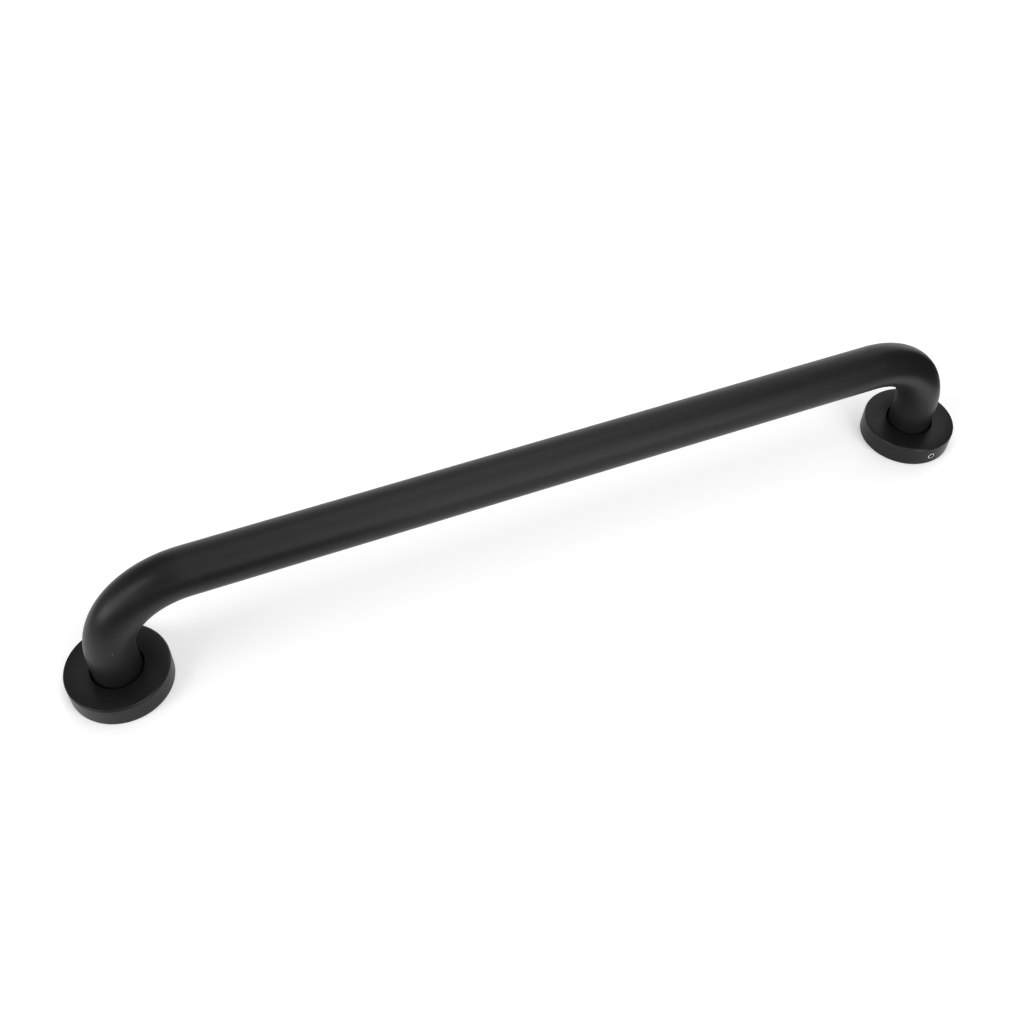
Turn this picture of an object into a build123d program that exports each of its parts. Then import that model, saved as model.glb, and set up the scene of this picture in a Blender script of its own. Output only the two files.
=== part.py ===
from build123d import *
from math import radians, tan
import os

# Wall-mounted grab bar: one bent tube, welded at both ends into round mounting plates.
# A round cover slides down each leg over its plate, hides the wall screws and is held by
# a set screw in its side.
#
# The wall is the plane z = 0, and +Z points away from it. +X runs along the bar, and the
# origin lies on the wall midway between the two legs.

# Driving dimensions, in millimetres and degrees

# Tube, bent from one length
tube_diameter = 31.8
tube_wall = 1.5
leg_spacing = 610.0  # between the axes of the two legs
leg_straight = 15.2  # from the top of the cover to the start of the bend
bend_radius = 58.0  # of the centre line

# Covers
cover_height = 15.6
cover_wall = 4.0
cover_top = 3.0
cover_edge_radius = 1.5
cover_foot_chamfer = 0.4
cover_tube_gap = 1.5  # around the tube
cover_plate_gap = 0.6  # around the plate

# Mounting plates
plate_edge_chamfer = 0.6
weld_leg = 2.0  # fillet weld between the plate and the tube
weld_headroom = 1.0  # between the weld and the cover's underside
seat_thickness = 4.5  # of the metal under the end of the tube
seat_width = 4.0  # of the shoulder that the tube stands on
seat_gap = 0.05  # around the tube in its seat
wall_screw_count = 3
wall_screw_hole = 5.2
wall_screw_head = 9.7
wall_screw_head_angle = 90.0
wall_screw_head_margin = 0.6  # of flat plate on both sides of the head

# Set screws
set_screw_diameter = 6.0
set_screw_recess = 0.3  # below the cover's side
set_screw_tip_gap = 0.3  # from the plate
set_screw_thread_gap = 0.05
set_screw_chamfer = 0.5
set_screw_mouth = 0.3  # depth of the tapped hole's countersink
set_screw_mouth_angle = 90.0
hex_width = 3.0  # across the flats of the hexagon socket
hex_depth = 2.2

# Sizes that follow from the driving dimensions

tube_radius = tube_diameter / 2
tube_bore = tube_radius - tube_wall
leg_x = leg_spacing / 2
bar_height = cover_height + leg_straight + bend_radius  # of the bar's centre line

# From the tube outwards: weld, land for the screw heads, edge of the plate, cover
seat_radius = tube_radius + seat_gap
vent_radius = seat_radius - seat_width
weld_radius = seat_radius + weld_leg
wall_screw_circle = weld_radius + wall_screw_head_margin + wall_screw_head / 2
land_radius = wall_screw_circle + wall_screw_head / 2 + wall_screw_head_margin
plate_radius = land_radius + plate_edge_chamfer
cover_bore = plate_radius + cover_plate_gap
cover_radius = cover_bore + cover_wall
cover_hole = tube_radius + cover_tube_gap

# From the top of the cover down to the wall
cover_ceiling = cover_height - cover_top
weld_top = cover_ceiling - weld_headroom
plate_thickness = weld_top - weld_leg

set_screw_radius = set_screw_diameter / 2
set_screw_height = plate_thickness - set_screw_radius  # it bears on the edge of the plate
set_screw_head_end = cover_radius - set_screw_recess
set_screw_tip_end = plate_radius + set_screw_tip_gap
tapped_radius = set_screw_radius + set_screw_thread_gap

# The countersink at the mouth of the tapped hole is cut from past the cover's side
mouth_start = cover_radius - set_screw_mouth
mouth_end = cover_radius + set_screw_mouth
mouth_radius = tapped_radius + (mouth_end - mouth_start) * tan(radians(set_screw_mouth_angle / 2))

# The side of the middle, along X, that each end of the bar lies on. The left end is the
# right end after half a turn, so the set screws of the two covers face opposite ways.
ends = {"left": -1, "right": 1}

os.makedirs("parts", exist_ok=True)

# Tube: up one leg, along the bar and down the other leg

with BuildPart() as tube:
    with BuildLine() as centre_line:
        FilletPolyline(
            (-leg_x, 0, seat_thickness),
            (-leg_x, 0, bar_height),
            (leg_x, 0, bar_height),
            (leg_x, 0, seat_thickness),
            radius=bend_radius,
        )
    with BuildSketch(Plane(origin=(-leg_x, 0, seat_thickness), z_dir=(0, 0, 1))) as tube_section:
        Circle(tube_radius)
        Circle(tube_bore, mode=Mode.SUBTRACT)
    sweep(path=centre_line.wires()[0])
tube.part.label = "tube"
export_step(tube.part, "parts/tube.step")

for end_name, outward in ends.items():
    leg_axis = Axis((outward * leg_x, 0, 0), (0, 0, 1))
    # The foot seen from above: local X points along the bar, away from its middle
    foot = Plane(origin=leg_axis.position, x_dir=(outward, 0, 0), z_dir=(0, 0, 1))
    # Half section through the leg: local X is the radius and local Y the height
    section = Plane(origin=leg_axis.position, x_dir=foot.x_dir, z_dir=-foot.y_dir)
    # Across the axis of the set screw, which points out of that section
    screw_axis = Axis(leg_axis.position + Vector(0, 0, set_screw_height), section.z_dir)
    screw_face = Plane(origin=screw_axis.position, x_dir=foot.x_dir, z_dir=screw_axis.direction)
    # Half section through the set screw: local X runs out along it, local Y is its radius
    screw_section = Plane(
        origin=screw_axis.position,
        x_dir=screw_axis.direction,
        z_dir=-foot.x_dir,
    )

    # Mounting plate: a turned disc with a seat for the tube, the weld run around the
    # tube, and countersunk holes for the wall screws
    with BuildPart() as plate:
        with BuildSketch(section) as plate_profile:
            with BuildLine() as plate_outline:
                Polyline(
                    (vent_radius, 0),
                    (land_radius, 0),
                    (plate_radius, plate_edge_chamfer),
                    (plate_radius, plate_thickness - plate_edge_chamfer),
                    (land_radius, plate_thickness),
                    (weld_radius, plate_thickness),
                    (seat_radius, weld_top),
                    (seat_radius, seat_thickness),
                    (vent_radius, seat_thickness),
                    close=True,
                )
            make_face()
        revolve(axis=leg_axis)
        with Locations(foot.offset(plate_thickness)):
            with PolarLocations(wall_screw_circle, wall_screw_count):
                CounterSinkHole(
                    radius=wall_screw_hole / 2,
                    counter_sink_radius=wall_screw_head / 2,
                    depth=plate_thickness,
                    counter_sink_angle=wall_screw_head_angle,
                )
    plate.part.label = f"mounting_plate_{end_name}"
    export_step(plate.part, f"parts/mounting_plate_{end_name}.step")

    # Cover: a turned cup with a hole for the tube and a tapped hole in its side
    with BuildPart() as cover:
        with BuildSketch(section) as cover_profile:
            with BuildLine() as cover_outline:
                Polyline(
                    (cover_bore, 0),
                    (cover_radius, 0),
                    (cover_radius, cover_height),
                    (cover_hole, cover_height),
                    (cover_hole, cover_ceiling),
                    (cover_bore, cover_ceiling),
                    close=True,
                )
            make_face()
        revolve(axis=leg_axis)
        outer_edges = cover.edges().filter_by(GeomType.CIRCLE).group_by(SortBy.RADIUS)[-1]
        fillet(outer_edges.sort_by(Axis.Z)[-1], radius=cover_edge_radius)
        outer_edges = cover.edges().filter_by(GeomType.CIRCLE).group_by(SortBy.RADIUS)[-1]
        chamfer(outer_edges.sort_by(Axis.Z)[0], length=cover_foot_chamfer)
        with BuildSketch(screw_section) as tapped_hole:
            with BuildLine() as tapped_outline:
                Polyline(
                    (plate_radius, 0),
                    (mouth_end, 0),
                    (mouth_end, mouth_radius),
                    (mouth_start, tapped_radius),
                    (plate_radius, tapped_radius),
                    close=True,
                )
            make_face()
        revolve(axis=screw_axis, mode=Mode.SUBTRACT)
    cover.part.label = f"cover_{end_name}"
    export_step(cover.part, f"parts/cover_{end_name}.step")

    # Set screw: headless, with a hexagon socket in its outer end
    with BuildPart() as set_screw:
        with BuildSketch(screw_face.offset(set_screw_tip_end)) as shank:
            Circle(set_screw_radius)
        extrude(amount=set_screw_head_end - set_screw_tip_end)
        chamfer(set_screw.edges().filter_by(GeomType.CIRCLE), length=set_screw_chamfer)
        with BuildSketch(screw_face.offset(set_screw_head_end)) as hex_socket:
            RegularPolygon(radius=hex_width / 2, side_count=6, major_radius=False)
        extrude(amount=-hex_depth, mode=Mode.SUBTRACT)
    set_screw.part.label = f"set_screw_{end_name}"
    export_step(set_screw.part, f"parts/set_screw_{end_name}.step")
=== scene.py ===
from math import atan2, cos, pi, radians, sin

import bmesh
import bpy
from mathutils import Euler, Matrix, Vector


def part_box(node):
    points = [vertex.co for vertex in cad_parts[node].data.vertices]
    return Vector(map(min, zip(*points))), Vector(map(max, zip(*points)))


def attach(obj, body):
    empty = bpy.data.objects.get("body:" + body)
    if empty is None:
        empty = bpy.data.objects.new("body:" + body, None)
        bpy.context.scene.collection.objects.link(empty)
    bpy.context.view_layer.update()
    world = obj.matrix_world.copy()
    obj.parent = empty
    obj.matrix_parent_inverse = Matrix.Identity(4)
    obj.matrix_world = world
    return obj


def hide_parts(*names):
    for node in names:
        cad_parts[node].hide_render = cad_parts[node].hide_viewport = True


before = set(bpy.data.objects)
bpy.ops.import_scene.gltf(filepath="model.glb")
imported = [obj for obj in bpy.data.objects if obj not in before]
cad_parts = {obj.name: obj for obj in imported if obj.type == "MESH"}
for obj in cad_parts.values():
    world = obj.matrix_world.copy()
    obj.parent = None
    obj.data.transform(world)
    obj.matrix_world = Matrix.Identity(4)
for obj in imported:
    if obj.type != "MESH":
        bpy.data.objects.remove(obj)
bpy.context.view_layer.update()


# Tube
# One length of round stainless tube, bent down at both ends into short legs. It is sprayed
# satin black outside and left bare inside, and its ends are welded into the mounting plates.

mm = 0.001
same_place = 0.001 * mm
smooth_below = radians(30)

cover_low, cover_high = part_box("cover_right")
leg_x = (cover_low.x + cover_high.x) / 2
tube_low, tube_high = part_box("tube")
tube_radius = tube_high.x - leg_x
tube_foot = tube_low.z
bar_height = tube_high.z - tube_radius
tube_wall = 1.5 * mm
bend_radius = 58 * mm
bend_start = bar_height - bend_radius
straight_length = 2 * (leg_x - bend_radius)
tube_sides = 128
bend_steps = 48

coat_roughness = 0.38
cloud_gloss = 0.05
grain_gloss = 0.04
thin_gloss = 0.24
peel_height = 0.025 * mm
grain_height = 0.005 * mm
speck_place = (-0.30305, -0.01585, 0.04995)
speck_radius = 0.45 * mm


class Wire:
    """A node's output. A sum on it, with numbers or other wires, becomes a Math node.

    Each operator has its reflected form, so that a number can come first."""

    def __init__(self, finish, socket):
        self.finish = finish
        self.socket = socket

    def sum(self, operation, first, second=0.0):
        return self.finish.add("ShaderNodeMath", {"operation": operation}, {0: first, 1: second})

    def __add__(self, other):
        return self.sum("ADD", self, other)

    def __radd__(self, other):
        return self.sum("ADD", other, self)

    def __sub__(self, other):
        return self.sum("SUBTRACT", self, other)

    def __rsub__(self, other):
        return self.sum("SUBTRACT", other, self)

    def __mul__(self, other):
        return self.sum("MULTIPLY", self, other)

    def __rmul__(self, other):
        return self.sum("MULTIPLY", other, self)

    def __pow__(self, other):
        return self.sum("POWER", self, other)

    def __rpow__(self, other):
        return self.sum("POWER", other, self)

    def __lt__(self, other):
        return self.sum("LESS_THAN", self, other)

    def __gt__(self, other):
        return self.sum("GREATER_THAN", self, other)

    def __abs__(self):
        return self.sum("ABSOLUTE", self)


class Finish:
    """The node tree of a surface or of the world."""

    def __init__(self, tree):
        self.tree = tree
        tree.nodes.clear()

    def add(self, kind, settings=None, sockets=None, output=0):
        """Adds a node, sets its settings, then fills its sockets with values or links."""
        node = self.tree.nodes.new(kind)
        for name, value in (settings or {}).items():
            setattr(node, name, value)
        for name, value in (sockets or {}).items():
            if isinstance(value, Wire):
                self.tree.links.new(value.socket, node.inputs[name])
            else:
                node.inputs[name].default_value = value
        return Wire(self, node.outputs[output]) if node.outputs else node

    def place(self):
        """Where on its piece a point lies."""
        return self.add("ShaderNodeTexCoord", output="Object")

    def axis(self, vector, letter):
        """A vector's part along X, Y or Z."""
        return self.add("ShaderNodeSeparateXYZ", {}, {"Vector": vector}, output=letter)

    def noise(self, place, scale, detail):
        """Uneven patches around 0.5, smaller at a larger scale."""
        return self.add(
            "ShaderNodeTexNoise", {}, {"Vector": place, "Scale": scale, "Detail": detail}
        )

    def mix(self, factor, first, second):
        """Mixes two colours, from the first at 0 to the second at 1."""
        return self.add(
            "ShaderNodeMix",
            {"data_type": "RGBA"},
            {"Factor": factor, "A": first, "B": second},
            output=2,
        )

    def relief(self, height):
        """The normal of a surface that rises by that height."""
        return self.add("ShaderNodeBump", {}, {"Strength": 1.0, "Distance": 1.0, "Height": height})

    def show(self, sockets):
        """Ends the tree in a surface with those values."""
        shader = self.add("ShaderNodeBsdfPrincipled", {}, sockets)
        self.add("ShaderNodeOutputMaterial", {}, {"Surface": shader})


def grey(value):
    """A neutral colour of that brightness."""
    return (value, value, value, 1)


def surface(name):
    """A new material and its node tree."""
    material = bpy.data.materials.new(name)
    material.use_nodes = True
    return material, Finish(material.node_tree)


def satin_black(name, thin_and_highlit_places, undercoat_and_highlight):
    """Sprayed coating with orange peel, a fine grain and uneven gloss.

    Where the coating thins it shows the paler colour beneath and is glossier. On the rims of the
    covers that paler colour is partly wear and partly a painted highlight."""
    material, finish = surface(name)
    place = finish.place()
    cloud = finish.noise(place, scale=45.0, detail=3.0)
    peel = finish.noise(place, scale=650.0, detail=1.0)
    grain = finish.noise(place, scale=2600.0, detail=2.0)
    thin_and_highlit = thin_and_highlit_places(finish, place)
    black = finish.mix(cloud, grey(0.008), grey(0.010))
    uneven = (cloud - 0.5) * cloud_gloss + (grain - 0.5) * grain_gloss
    finish.show(
        {
            # Painted highlight: on the covers' rims the paler colour stands in part for a
            # highlight along the rounded rim.
            "Base Color": finish.mix(thin_and_highlit, black, undercoat_and_highlight),
            "Roughness": coat_roughness + uneven - thin_and_highlit * thin_gloss,
            "Specular IOR Level": 0.22,
            "Normal": finish.relief(peel * peel_height + grain * grain_height),
        }
    )
    return material


def speck(finish, place):
    """One pale speck low on the left bend."""
    distance = finish.add(
        "ShaderNodeVectorMath",
        {"operation": "DISTANCE"},
        {0: place, 1: speck_place},
        output="Value",
    )
    return distance < speck_radius


def drawn_steel():
    """Bare stainless steel with faint marks from drawing, as left inside the tube."""
    material, finish = surface("drawn_steel")
    marks = finish.noise(finish.place(), scale=500.0, detail=4.0)
    finish.show(
        {
            "Base Color": finish.mix(marks, grey(0.30), grey(0.42)),
            "Metallic": 1.0,
            "Roughness": 0.35 + marks * 0.2,
        }
    )
    return material


def only(piece):
    """Makes a piece the one that is selected and active."""
    bpy.ops.object.select_all(action="DESELECT")
    piece.select_set(True)
    bpy.context.view_layer.objects.active = piece


def apply(piece, modifier):
    """Applies a modifier to a piece's mesh."""
    only(piece)
    bpy.ops.object.modifier_apply(modifier=modifier.name)


def fit(piece, name, body, slot, *nodes):
    """Names and smooths a finished piece, rides it on its body and hides the CAD parts that it
    stands for.
    """
    piece.name = name
    piece.data.name = name
    only(piece)
    bpy.ops.object.shade_smooth_by_angle(angle=smooth_below)
    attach(piece, body)
    if nodes:
        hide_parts(*nodes)


bpy.ops.object.select_all(action="DESELECT")
bpy.ops.mesh.primitive_circle_add(
    vertices=tube_sides, radius=tube_radius, location=(-leg_x, 0, tube_foot)
)
tube = bpy.context.object
bpy.ops.object.transform_apply(location=True)
bpy.ops.object.mode_set(mode="EDIT")
bpy.ops.mesh.extrude_region_move(
    TRANSFORM_OT_translate={"value": (0, 0, bend_start - tube_foot)}
)
bpy.ops.mesh.spin(
    steps=bend_steps,
    angle=pi / 2,
    center=(bend_radius - leg_x, 0, bend_start),
    axis=(0, -1, 0),
)
bpy.ops.mesh.extrude_region_move(TRANSFORM_OT_translate={"value": (straight_length, 0, 0)})
bpy.ops.mesh.spin(
    steps=bend_steps,
    angle=pi / 2,
    center=(leg_x - bend_radius, 0, bend_start),
    axis=(0, -1, 0),
)
bpy.ops.mesh.extrude_region_move(
    TRANSFORM_OT_translate={"value": (0, 0, tube_foot - bend_start)}
)
bpy.ops.mesh.select_all(action="SELECT")
bpy.ops.mesh.remove_doubles(threshold=same_place)
bpy.ops.mesh.normals_make_consistent(inside=False)
bpy.ops.object.mode_set(mode="OBJECT")
tube.data.materials.append(satin_black("satin_black", speck, undercoat_and_highlight=grey(0.16)))
tube.data.materials.append(drawn_steel())
wall = tube.modifiers.new("wall", "SOLIDIFY")
wall.thickness = tube_wall
wall.offset = -1
wall.material_offset = 1
apply(tube, wall)
fit(tube, "bent_tube", "bar", "black_coating", "tube")


# Mounting plates
# A thick turned disc under each leg, with a seat for the end of the tube and three countersunk
# holes for the wall screws. It is sprayed black with the tube, over its turning marks.

plate_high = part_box("mounting_plate_right")[1]
plate_radius = plate_high.x - leg_x
weld_top = plate_high.z
weld_leg = 2 * mm
plate_thickness = weld_top - weld_leg
plate_chamfer = 0.6 * mm
plate_sides = 160
seat_radius = 15.95 * mm
vent_radius = 11.95 * mm
wall_screw_count = 3
wall_screw_circle = 23.4 * mm
wall_screw_hole = 2.6 * mm
wall_screw_head = 4.85 * mm
wall_screw_sides = 64
head_depth = wall_screw_head - wall_screw_hole
overcut = 1 * mm
turning_height = 0.012 * mm
plate_grain_height = 0.006 * mm


def turned(corners, sides, axis=Vector((leg_x, 0, 0)), solid=False):
    """Turns a half section about an upright axis. Its corners are radius and height.

    A ring's section runs back to its first corner. A solid's starts and ends with a flat face."""
    radius, height = corners[0]
    bpy.ops.object.select_all(action="DESELECT")
    bpy.ops.mesh.primitive_circle_add(
        vertices=sides,
        radius=radius,
        fill_type="NGON" if solid else "NOTHING",
        location=axis + Vector((0, 0, height)),
    )
    piece = bpy.context.object
    bpy.ops.object.transform_apply(location=True)
    bpy.ops.object.mode_set(mode="EDIT")
    for next_radius, next_height in corners[1:] if solid else corners[1:] + corners[:1]:
        bpy.ops.mesh.extrude_region_move(
            TRANSFORM_OT_translate={"value": (0, 0, next_height - height)}
        )
        growth = next_radius / radius
        bpy.ops.transform.resize(value=(growth, growth, 1), center_override=axis)
        radius, height = next_radius, next_height
    bpy.ops.mesh.select_all(action="SELECT")
    bpy.ops.mesh.remove_doubles(threshold=same_place)
    bpy.ops.mesh.normals_make_consistent(inside=False)
    bpy.ops.object.mode_set(mode="OBJECT")
    return piece


def cut(piece, cutter):
    """Cuts the cutter's shape out of a piece, and removes the cutter."""
    hole = piece.modifiers.new("hole", "BOOLEAN")
    hole.operation = "DIFFERENCE"
    hole.solver = "EXACT"
    hole.object = cutter
    apply(piece, hole)
    only(cutter)
    bpy.ops.object.delete()


def left_copy(piece):
    """A copy for the left end, which is the right end after half a turn."""
    only(piece)
    bpy.ops.object.duplicate(linked=False)
    copy = bpy.context.object
    bpy.ops.transform.rotate(value=pi, orient_axis="Z", center_override=(0, 0, 0))
    bpy.ops.object.transform_apply(location=True, rotation=True, scale=True)
    return copy


def leg_distance(finish, place):
    """How far a place on a surface is from the axis of its leg."""
    along = abs(finish.axis(place, "X")) - leg_x
    across = finish.axis(place, "Y")
    return (along ** 2 + across ** 2) ** 0.5


def black_plate():
    """The same black, drier and over the rings that turning leaves."""
    material, finish = surface("turned_black")
    place = finish.place()
    radius = leg_distance(finish, place)
    rings = finish.add(
        "ShaderNodeTexNoise", {"noise_dimensions": "1D"}, {"W": radius, "Scale": 2600.0}
    )
    grain = finish.noise(place, scale=1500.0, detail=3.0)
    finish.show(
        {
            "Base Color": finish.mix(grain, grey(0.006), grey(0.010)),
            "Roughness": 0.42 + (rings - 0.5) * 0.15,
            "Specular IOR Level": 0.25,
            "Normal": finish.relief(rings * turning_height + grain * plate_grain_height),
        }
    )
    return material


plate_black = black_plate()

plate_right = turned(
    [
        (vent_radius, 0),
        (plate_radius - plate_chamfer, 0),
        (plate_radius, plate_chamfer),
        (plate_radius, plate_thickness - plate_chamfer),
        (plate_radius - plate_chamfer, plate_thickness),
        (seat_radius, plate_thickness),
        (seat_radius, tube_foot),
        (vent_radius, tube_foot),
    ],
    plate_sides,
)
plate_right.data.materials.append(plate_black)

screw_holes = turned(
    [
        (wall_screw_hole, -overcut),
        (wall_screw_hole, plate_thickness - head_depth),
        (wall_screw_head + overcut, plate_thickness + overcut),
    ],
    wall_screw_sides,
    Vector((leg_x + wall_screw_circle, 0, 0)),
    solid=True,
)
bpy.ops.object.mode_set(mode="EDIT")
bpy.ops.mesh.select_all(action="SELECT")
bpy.ops.mesh.spin(
    steps=wall_screw_count - 1,
    dupli=True,
    angle=2 * pi * (wall_screw_count - 1) / wall_screw_count,
    center=(leg_x, 0, 0),
    axis=(0, 0, 1),
)
bpy.ops.object.mode_set(mode="OBJECT")
cut(plate_right, screw_holes)

plate_left = left_copy(plate_right)
fit(plate_right, "plate_right", "bar", "black_plate", "mounting_plate_right")
fit(plate_left, "plate_left", "bar", "black_plate", "mounting_plate_left")


# Welds
# A bead run by hand around each leg joins the tube to its plate. It lies in the corner in
# small overlapping scales, and is sprayed over with the rest.

# The bead's section in millimetres, outwards from the seat and upwards from the plate.
bead_section = [
    (2.05, -0.2),
    (1.9, 0.25),
    (1.55, 0.75),
    (1.1, 1.2),
    (0.6, 1.6),
    (0.15, 1.9),
    (-0.1, 1.95),
    (-0.1, -0.2),
]
scale_count = 54
# The bead's size at each step around a scale, and how many times more it shrinks in height.
scale_sizes = (0.978, 0.989, 0.997, 1.0, 1.0, 0.996)
height_shrink = 4
bead_sides = scale_count * len(scale_sizes)


def pick(piece, kind, wanted):
    """Selects, in edit mode, the vertices or edges of which every corner passes the test."""
    bpy.ops.mesh.select_mode(type=kind)
    bpy.ops.mesh.select_all(action="DESELECT")
    shape = bmesh.from_edit_mesh(piece.data)
    if kind == "VERT":
        for corner in shape.verts:
            if wanted(corner.co):
                corner.select_set(True)
    else:
        for edge in shape.edges:
            if all(wanted(corner.co) for corner in edge.verts):
                edge.select_set(True)
    bmesh.update_edit_mesh(piece.data)


def from_leg(place):
    """How far a place is from the axis of the right leg."""
    return (place.xy - Vector((leg_x, 0))).length


def bead_side(place):
    """Which of the bead's sides a place lies on, counted around the right leg."""
    return round(atan2(place.y, place.x - leg_x) / (2 * pi) * bead_sides)


weld_right = turned(
    [(seat_radius + out * mm, plate_thickness + up * mm) for out, up in bead_section],
    bead_sides,
)
weld_right.data.materials.append(plate_black)
bpy.ops.object.mode_set(mode="EDIT")
for step, size in enumerate(scale_sizes):
    pick(
        weld_right,
        "VERT",
        lambda place: bead_side(place) % len(scale_sizes) == step
        and place.z > plate_thickness
        and from_leg(place) > tube_radius,
    )
    bpy.ops.transform.resize(
        value=(size, size, 1 - (1 - size) * height_shrink),
        center_override=(leg_x, 0, plate_thickness),
    )
bpy.ops.object.mode_set(mode="OBJECT")

weld_left = left_copy(weld_right)
fit(weld_right, "weld_right", "bar", "black_plate")
fit(weld_left, "weld_left", "bar", "black_plate")


# Covers
# A turned cup slides down each leg over its plate and hides the wall screws. It has a rounded
# rim, a hole with room around the tube, and a tapped hole in its side. It is satin black.

cover_radius = cover_high.x - leg_x
cover_height = cover_high.z
cover_bore = 30.05 * mm
cover_hole = 17.4 * mm
cover_ceiling = 12.6 * mm
cover_sides = 192
rim_radius = 1.5 * mm
rim_steps = 8
foot_chamfer = 0.4 * mm
edge_break = 0.2 * mm
tolerance = 0.02 * mm
# The rim's paler band, partly wear and partly a painted highlight, starts and is full at these
# distances from the rim's corner.
worn_highlit_start = 1.45 * mm
worn_highlit_full = 0.95 * mm
screw_height = 6.6 * mm
tapped_radius = 3.05 * mm
tapped_mouth = 0.3 * mm
tapped_sides = 72
origin = Vector((0, 0, 0))


def bevel_ring(piece, radius, height, width, segments):
    """Rounds or chamfers the edge at that radius and height."""
    only(piece)
    bpy.ops.object.mode_set(mode="EDIT")
    pick(
        piece,
        "EDGE",
        lambda place: abs(from_leg(place) - radius) < tolerance
        and abs(place.z - height) < tolerance,
    )
    bpy.ops.mesh.bevel(offset=width, segments=segments, profile=0.5, affect="EDGES")
    bpy.ops.object.mode_set(mode="OBJECT")


def set_in_side(piece):
    """Lays a turned piece along the axis of the set screw, its heights counted from the leg."""
    only(piece)
    piece.rotation_euler = (pi / 2, 0, 0)
    piece.location = (leg_x, 0, screw_height)
    bpy.ops.object.transform_apply(location=True, rotation=True)


def worn_and_highlit_rim(finish, place):
    """The coating thins in patches over the rounded rim of a cover, and the paler colour it shows
    there is also a painted highlight along the rim.
    """
    corner = cover_radius + cover_height
    rim = finish.add(
        "ShaderNodeMapRange",
        {},
        {
            "Value": leg_distance(finish, place) + finish.axis(place, "Z"),
            "From Min": corner - worn_highlit_start,
            "From Max": corner - worn_highlit_full,
        },
    )
    return rim * (0.5 + finish.noise(place, scale=160.0, detail=3.0))


cover_right = turned(
    [
        (cover_bore, 0),
        (cover_radius, 0),
        (cover_radius, cover_height),
        (cover_hole, cover_height),
        (cover_hole, cover_ceiling),
        (cover_bore, cover_ceiling),
    ],
    cover_sides,
)
# Its rim is paler: partly wear, partly a painted highlight along the rounded rim.
cover_right.data.materials.append(
    satin_black("cover_black", worn_and_highlit_rim, undercoat_and_highlight=grey(0.018))
)
bevel_ring(cover_right, cover_radius, cover_height, rim_radius, segments=rim_steps)
bevel_ring(cover_right, cover_radius, 0, foot_chamfer, segments=1)
bevel_ring(cover_right, cover_hole, cover_height, edge_break, segments=2)
bevel_ring(cover_right, cover_bore, 0, edge_break, segments=1)

tapped_hole = turned(
    [
        (tapped_radius, cover_bore - 2 * overcut),
        (tapped_radius, cover_radius - tapped_mouth),
        (tapped_radius + 2 * tapped_mouth, cover_radius + tapped_mouth),
    ],
    tapped_sides,
    origin,
    solid=True,
)
set_in_side(tapped_hole)
cut(cover_right, tapped_hole)

cover_left = left_copy(cover_right)
fit(cover_right, "cap_right", "right_cover", "black_coating", "cover_right")
fit(cover_left, "cap_left", "left_cover", "black_coating", "cover_left")


# Set screws
# A headless M6 screw of bright stainless steel in the side of each cover grips the edge of the
# plate. Its outer end lies just below the cover's side and has a hexagon socket.

screw_radius = 3.0 * mm
screw_tip = 29.75 * mm
screw_end = 33.75 * mm
screw_chamfer = 0.5 * mm
screw_sides = 96
facing_height = 0.002 * mm
socket_sides = 6
socket_width = 3 * mm
socket_radius = socket_width / 2 / cos(radians(30))
socket_floor = screw_end - 2.2 * mm
socket_point = socket_floor - 0.6 * mm
point_radius = socket_radius * 0.2
mouth_radius = socket_radius + 0.25 * mm
mouth_reach = 0.5 * mm
mouth_turn = radians(1.3)


def bright_steel():
    """Bright stainless steel with the rings of the facing cut on its end."""
    material, finish = surface("bright_steel")
    place = finish.place()
    along = abs(finish.axis(place, "X")) - leg_x
    up = finish.axis(place, "Z") - screw_height
    rings = finish.add(
        "ShaderNodeTexNoise",
        {"noise_dimensions": "1D"},
        {"W": (along ** 2 + up ** 2) ** 0.5, "Scale": 9000.0},
    )
    finish.show(
        {
            "Base Color": finish.mix(rings, (0.70, 0.69, 0.67, 1), (0.80, 0.79, 0.77, 1)),
            "Metallic": 1.0,
            "Roughness": 0.22 + rings * 0.1,
            "Normal": finish.relief(rings * facing_height),
        }
    )
    return material


def socket_painted_shade():
    """The walls of the socket, painted near black for the shade in the recess."""
    material, finish = surface("socket_painted_shade")
    uneven_shade = finish.noise(finish.place(), scale=2500.0, detail=3.0)
    finish.show(
        {
            "Base Color": finish.mix(uneven_shade, grey(0.015), grey(0.05)),
            "Metallic": 1.0,
            "Roughness": 0.4 + uneven_shade * 0.2,
        }
    )
    return material


set_screw_right = turned(
    [
        (screw_radius - screw_chamfer, screw_tip),
        (screw_radius, screw_tip + screw_chamfer),
        (screw_radius, screw_end - screw_chamfer),
        (screw_radius - screw_chamfer, screw_end),
    ],
    screw_sides,
    origin,
    solid=True,
)
set_screw_right.data.materials.append(bright_steel())
set_screw_right.data.materials.append(socket_painted_shade())
socket = turned(
    [
        (point_radius, socket_point),
        (socket_radius, socket_floor),
        (socket_radius, screw_end + overcut),
    ],
    socket_sides,
    origin,
    solid=True,
)
cut(set_screw_right, socket)
socket_mouth = turned(
    [
        (mouth_radius - mouth_reach, screw_end - mouth_reach),
        (mouth_radius + mouth_reach, screw_end + mouth_reach),
    ],
    screw_sides,
    origin,
    solid=True,
)
# Turned a little, so that none of its edges meets an edge of the socket.
socket_mouth.rotation_euler = (0, 0, mouth_turn)
cut(set_screw_right, socket_mouth)
# Painted shade: the faces inside the socket and its mouth take the near-black material, which
# stands in for the shade in the recess.
for face in set_screw_right.data.polygons:
    if face.center.xy.length < mouth_radius:
        if socket_floor - overcut < face.center.z < screw_end - tolerance:
            face.material_index = 1
set_in_side(set_screw_right)

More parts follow.
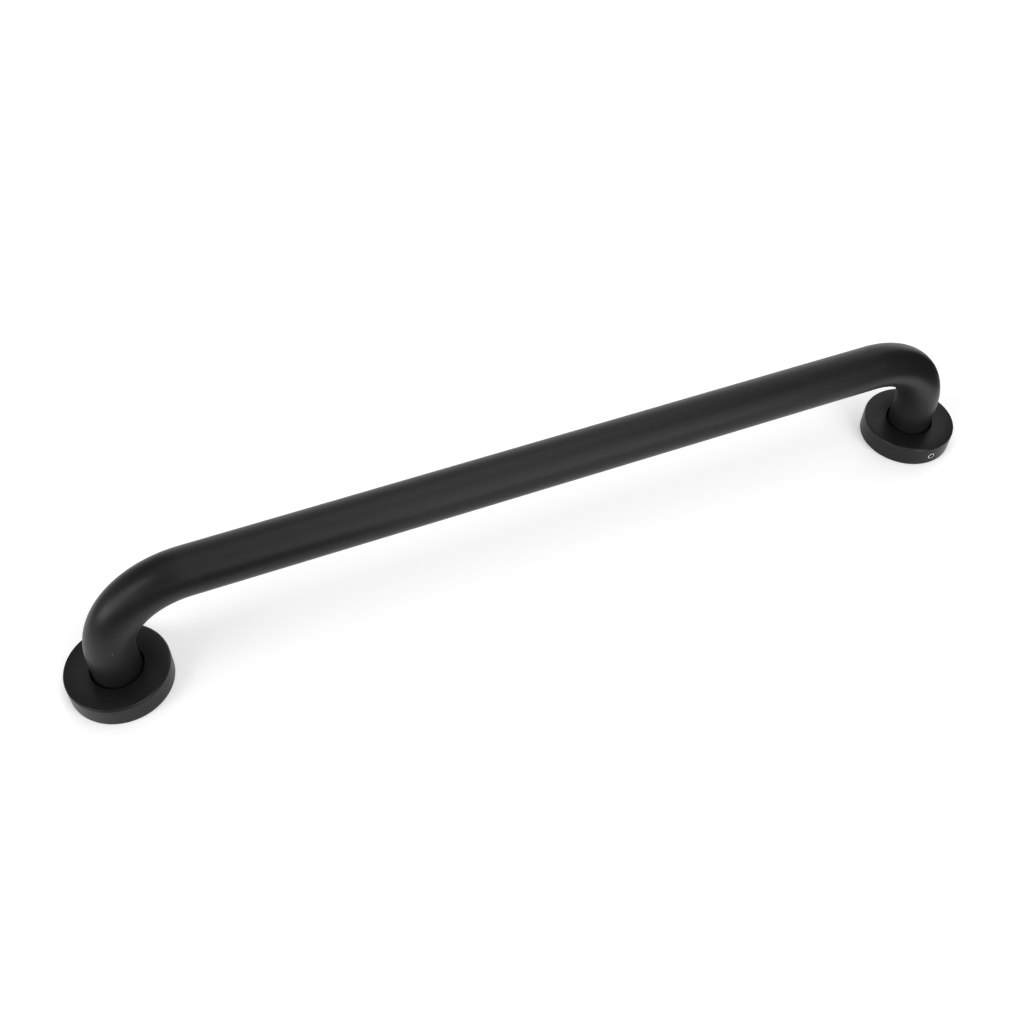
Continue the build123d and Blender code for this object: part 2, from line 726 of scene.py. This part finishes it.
set_screw_left = left_copy(set_screw_right)
fit(set_screw_right, "grub_screw_right", "right_cover", "bright_steel", "set_screw_right")
fit(set_screw_left, "grub_screw_left", "left_cover", "bright_steel", "set_screw_left")


# Floor, light and camera
# A plain white floor under soft studio panels, with dark cards beside the ends of the bar and in
# front of it, and a camera that looks down on the bar from the front left.

floor_white = 0.9
floor_lift = 0.25
floor_radius = 2.9
floor_sides = 128
floor_gap = 0.2 * mm
panel_distance = 3
overhead_height = 3.5
overhead_width = 1.6
overhead_length = 3.2

bpy.ops.object.select_all(action="DESELECT")
bpy.ops.mesh.primitive_circle_add(
    vertices=floor_sides, radius=floor_radius, fill_type="NGON", location=(0, 0, -floor_gap)
)
floor = bpy.context.object
bpy.ops.object.transform_apply(location=True)
floor.name = "floor"
floor_material, finish = surface("floor")
camera_ray = finish.add("ShaderNodeLightPath", output="Is Camera Ray")
glossy_ray = finish.add("ShaderNodeLightPath", output="Is Glossy Ray")
clear_ray = finish.add("ShaderNodeLightPath", output="Is Transmission Ray")
paint = finish.add("ShaderNodeBsdfDiffuse", {}, {"Color": grey(floor_white)})
glow = finish.add("ShaderNodeEmission", {}, {"Color": grey(1), "Strength": floor_lift})
shown = finish.add("ShaderNodeAddShader", {}, {0: paint, 1: glow})
seen = finish.add(
    "ShaderNodeMixShader", {}, {"Fac": camera_ray + glossy_ray + clear_ray, 1: paint, 2: shown}
)
finish.add("ShaderNodeOutputMaterial", {}, {"Surface": seen})
floor.data.materials.append(floor_material)

card_black, finish = surface("card_black")
paint = finish.add("ShaderNodeBsdfDiffuse", {}, {"Color": grey(0.01)})
finish.add("ShaderNodeOutputMaterial", {}, {"Surface": paint})


def dark_card(name, start, end, height):
    """A black card that stands on the floor from start to end, and shows only in reflections."""
    along = end - start
    bpy.ops.object.select_all(action="DESELECT")
    bpy.ops.mesh.primitive_plane_add(size=1, location=(*((start + end) / 2), height / 2))
    card = bpy.context.object
    card.scale = (along.length, height, 1)
    card.rotation_euler = (pi / 2, 0, atan2(along.y, along.x))
    bpy.ops.object.transform_apply(location=True, rotation=True, scale=True)
    card.name = name
    card.data.materials.append(card_black)
    card.visible_camera = False
    card.visible_diffuse = False
    card.visible_shadow = False


dark_card("card_right", Vector((0.42, -0.4)), Vector((0.42, 0.06)), height=0.3)
dark_card("card_right_low", Vector((0.355, -0.16)), Vector((0.415, 0.02)), height=0.03)
dark_card("card_left", Vector((-0.5, -0.1)), Vector((-0.5, 0.6)), height=0.08)
dark_card("card_front", Vector((-0.5, -0.08)), Vector((-0.1, -0.2)), height=0.12)

room = bpy.data.worlds.new("studio")
bpy.context.scene.world = room
room.use_nodes = True
finish = Finish(room.node_tree)
ahead = finish.add("ShaderNodeTexCoord", output="Generated")
brightness = finish.add(
    "ShaderNodeMapRange",
    {"interpolation_type": "SMOOTHSTEP"},
    {
        "Value": abs(finish.axis(ahead, "Z")),
        "From Min": 0.0,
        "From Max": 0.3,
        "To Min": 0.9,
        "To Max": 0.1,
    },
)
backdrop = finish.add("ShaderNodeBackground", {}, {"Color": grey(1), "Strength": brightness})
finish.add("ShaderNodeOutputWorld", {}, {"Surface": backdrop})


def softbox(name, place, facing, width, height, radiance):
    """A soft white panel at a place, facing a way, that gives off that radiance."""
    panel = bpy.data.lights.new(name, "AREA")
    panel.shape = "RECTANGLE"
    panel.size = width
    panel.size_y = height
    panel.energy = radiance * pi * width * height
    lamp = bpy.data.objects.new(name, panel)
    lamp.location = place
    lamp.rotation_euler = (-facing).to_track_quat("Z", "Y").to_euler()
    lamp.visible_camera = False
    bpy.context.scene.collection.objects.link(lamp)


def standing_panel(name, azimuth, width, low, high, radiance):
    """An upright panel at the edge of the floor. Azimuth runs clockwise from straight behind."""
    turn = radians(azimuth)
    outward = Vector((sin(turn), cos(turn), 0))
    middle = outward * panel_distance + Vector((0, 0, (low + high) / 2))
    softbox(name, middle, -outward, width, high - low, radiance)


def overhead_panel(name, x, radiance):
    """A panel that faces straight down."""
    place = Vector((x, 0, overhead_height))
    softbox(name, place, Vector((0, 0, -1)), overhead_width, overhead_length, radiance)


standing_panel("left_low", azimuth=-97, width=2.1, low=0, high=0.7, radiance=5.2)
standing_panel("left_middle", azimuth=-97, width=2.1, low=0.7, high=1.8, radiance=1.7)
standing_panel("left_high", azimuth=-104, width=1.5, low=1.8, high=3.8, radiance=4.4)
standing_panel("front_left", azimuth=-132, width=1.4, low=0, high=1.2, radiance=1.9)
standing_panel("behind", azimuth=28, width=4.6, low=0, high=5.2, radiance=0.95)
standing_panel("front", azimuth=162, width=2.3, low=0, high=5.2, radiance=2.5)
overhead_panel("overhead_left", x=-0.8, radiance=0.6)
overhead_panel("overhead_right", x=0.8, radiance=2.35)

lens = bpy.data.cameras.new("camera")
lens.sensor_width = 36
lens.lens = 42.338
camera = bpy.data.objects.new("camera", lens)
camera.location = (-0.24624, -0.48171, 0.67914)
camera.rotation_euler = Euler((radians(39.957), radians(-1.2846), radians(-22.6262)), "XYZ")
bpy.context.scene.collection.objects.link(camera)
bpy.context.scene.camera = camera
bpy.context.scene.view_settings.view_transform = "Standard"
